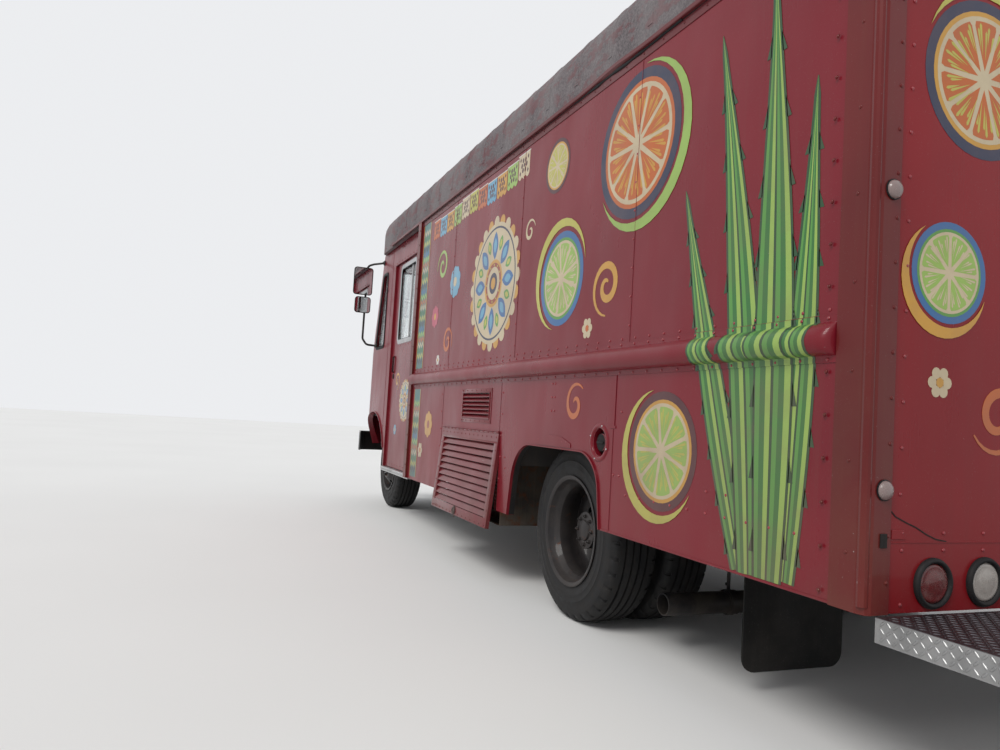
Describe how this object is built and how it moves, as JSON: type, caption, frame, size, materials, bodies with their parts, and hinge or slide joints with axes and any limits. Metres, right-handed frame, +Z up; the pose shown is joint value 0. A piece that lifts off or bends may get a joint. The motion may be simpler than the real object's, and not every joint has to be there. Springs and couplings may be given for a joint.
{
  "type": "food truck",
  "caption": "Step-van food truck with riveted box body, rounded roof, rub rails, louvred generator door, serving hatch, dual rear wheels and tread-plate rear step.",
  "frame": {"origin": "on the ground under the middle of the truck", "axes": "+X forward, +Y to the driver side (left), +Z up"},
  "size_m": [7.35, 2.83, 3.05],
  "materials": {
    "body_paint": "gloss, aged",
    "rear_paint": "gloss, aged",
    "roof_coat": "rough, peeling",
    "frame_black": "matt",
    "tread_plate": "worn",
    "bare_aluminium": "brushed",
    "clear_glass": "clear",
    "tyre_rubber": "matt",
    "rim_paint": "satin",
    "axle_iron": "rough",
    "stainless": "brushed",
    "black_plastic": "matt",
    "flap_rubber": "matt",
    "lamp_plastic": "gloss",
    "chair_vinyl": "satin",
    "floor_sheet": "worn"
  },
  "bodies": {
    "truck": {"chassis_frame": "frame_black", "front_axle": "axle_iron", "rear_axle": "axle_iron", "driveline": "axle_iron", "fuel_tank": "frame_black", "waste_pipe": "frame_black", "floor": "floor_sheet", "left_side": "body_paint", "right_side": "body_paint", "rear_wall": "rear_paint", "roof": "roof_coat", "cab_front": "body_paint", "cab_glass": "clear_glass", "rub_rails": "body_paint", "corner_posts": "body_paint", "entry_steps": "bare_aluminium", "wheel_houses": "floor_sheet", "front_bumper": "frame_black", "rear_step": "tread_plate", "mirrors": "black_plastic", "driver_chair": "chair_vinyl", "dashboard": "black_plastic", "kitchen_units": "stainless", "generator": "frame_black", "side_vent": "body_paint", "mud_flaps": "flap_rubber", "lamps": "lamp_plastic", "roof_fan": "bare_aluminium"},
    "front_wheel_left": {"front_tyre_left": "tyre_rubber", "front_rim_left": "rim_paint"},
    "rear_wheels_left": {"rear_tyres_left": "tyre_rubber", "rear_rims_left": "rim_paint"},
    "steering_left": {"knuckle_left": "axle_iron"},
    "sliding_door_left": {"cab_door_left": "body_paint", "cab_door_glass_left": "clear_glass"},
    "front_wheel_right": {"front_tyre_right": "tyre_rubber", "front_rim_right": "rim_paint"},
    "rear_wheels_right": {"rear_tyres_right": "tyre_rubber", "rear_rims_right": "rim_paint"},
    "steering_right": {"knuckle_right": "axle_iron"},
    "sliding_door_right": {"cab_door_right": "body_paint", "cab_door_glass_right": "clear_glass"},
    "back_door": {"rear_door": "rear_paint"},
    "generator_flap": {"generator_door": "body_paint"},
    "hatch": {"serving_hatch": "body_paint"}
  },
  "joints": [
    {"name": "steer_left", "type": "hinge", "parent": "truck", "child": "steering_left", "pos_m": [2.825, 0.65, 0.42], "axis": [0, 0, 1], "range_deg": [-33, 33]},
    {"name": "front_wheel_left_spin", "type": "hinge", "parent": "steering_left", "child": "front_wheel_left", "pos_m": [2.825, 0.8275, 0.42], "axis": [0, 1, 0], "continuous": true},
    {"name": "rear_wheels_left_spin", "type": "hinge", "parent": "truck", "child": "rear_wheels_left", "pos_m": [-1.425, 0.8075, 0.42], "axis": [0, 1, 0], "continuous": true},
    {"name": "cab_door_left_slide", "type": "slide", "parent": "truck", "child": "sliding_door_left", "axis": [-1, 0, 0], "range_m": [0, 0.78]},
    {"name": "steer_right", "type": "hinge", "parent": "truck", "child": "steering_right", "pos_m": [2.825, -0.65, 0.42], "axis": [0, 0, 1], "range_deg": [-33, 33]},
    {"name": "front_wheel_right_spin", "type": "hinge", "parent": "steering_right", "child": "front_wheel_right", "pos_m": [2.825, -0.8275, 0.42], "axis": [0, 1, 0], "continuous": true},
    {"name": "rear_wheels_right_spin", "type": "hinge", "parent": "truck", "child": "rear_wheels_right", "pos_m": [-1.425, -0.8075, 0.42], "axis": [0, 1, 0], "continuous": true},
    {"name": "cab_door_right_slide", "type": "slide", "parent": "truck", "child": "sliding_door_right", "axis": [-1, 0, 0], "range_m": [0, 0.78]},
    {"name": "rear_door_swing", "type": "hinge", "parent": "truck", "child": "back_door", "pos_m": [-3.284, 0.43, 1.5], "axis": [0, 0, -1], "range_deg": [0, 100]},
    {"name": "generator_door_lift", "type": "hinge", "parent": "truck", "child": "generator_flap", "pos_m": [-0.186, 1.181, 0.852], "axis": [1, 0, 0], "range_deg": [-5.6, 90]},
    {"name": "serving_hatch_lift", "type": "hinge", "parent": "truck", "child": "hatch", "pos_m": [-0.175, -1.208, 2.212], "axis": [-1, 0, 0], "range_deg": [0, 95]}
  ],
  "couplings": [
    {"joint": "steer_right", "follows": "steer_left", "ratio": 1}
  ]
}
